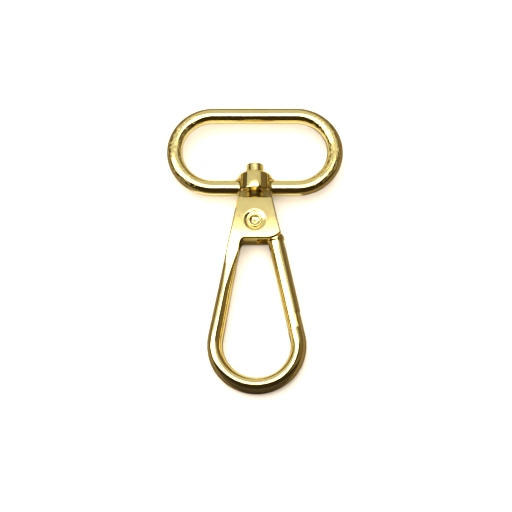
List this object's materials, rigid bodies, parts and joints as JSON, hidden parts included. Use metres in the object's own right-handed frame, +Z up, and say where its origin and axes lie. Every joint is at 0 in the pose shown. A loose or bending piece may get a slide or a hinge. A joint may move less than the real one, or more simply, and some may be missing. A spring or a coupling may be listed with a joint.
{
  "type": "swivel hook",
  "caption": "Bag snap hook with an oval strap ring on a riveted swivel, a flat wedge-shaped housing, a round bow and a sprung hinged gate.",
  "frame": {"origin": "centre of the bounding box's bottom face, with the hook lying flat on its back", "axes": "+Y along the swivel axis towards the strap ring, +Z up from the surface it lies on, towards the face with the gate pin's rolled rim, and +X towards the gate"},
  "size_m": [0.0462, 0.0776, 0.0088],
  "materials": {
    "gold_casting": "zinc alloy casting, polished and plated bright light gold",
    "gold_rivet": "turned steel rivet, plated light gold",
    "spring_steel": "drawn spring wire, unplated"
  },
  "bodies": {
    "ring": {"strap_ring": "gold_casting"},
    "hook": {"hook_body": "gold_casting", "swivel_pin": "gold_rivet", "gate_pin": "gold_rivet", "gate_spring": "spring_steel"},
    "gate": {"gate": "gold_casting"}
  },
  "joints": [
    {"name": "swivel", "type": "hinge", "parent": "ring", "child": "hook", "pos_m": [0, 0.0175, 0.00438], "axis": [0, 1, 0], "continuous": true},
    {"name": "gate_hinge", "type": "hinge", "parent": "hook", "child": "gate", "pos_m": [0, 0.00648, 0.00438], "axis": [0, 0, -1], "range_deg": [0, 28], "stiffness_Nm_per_rad": 0.03, "springref_deg": -28.65, "deforming": ["gate_spring"]}
  ]
}
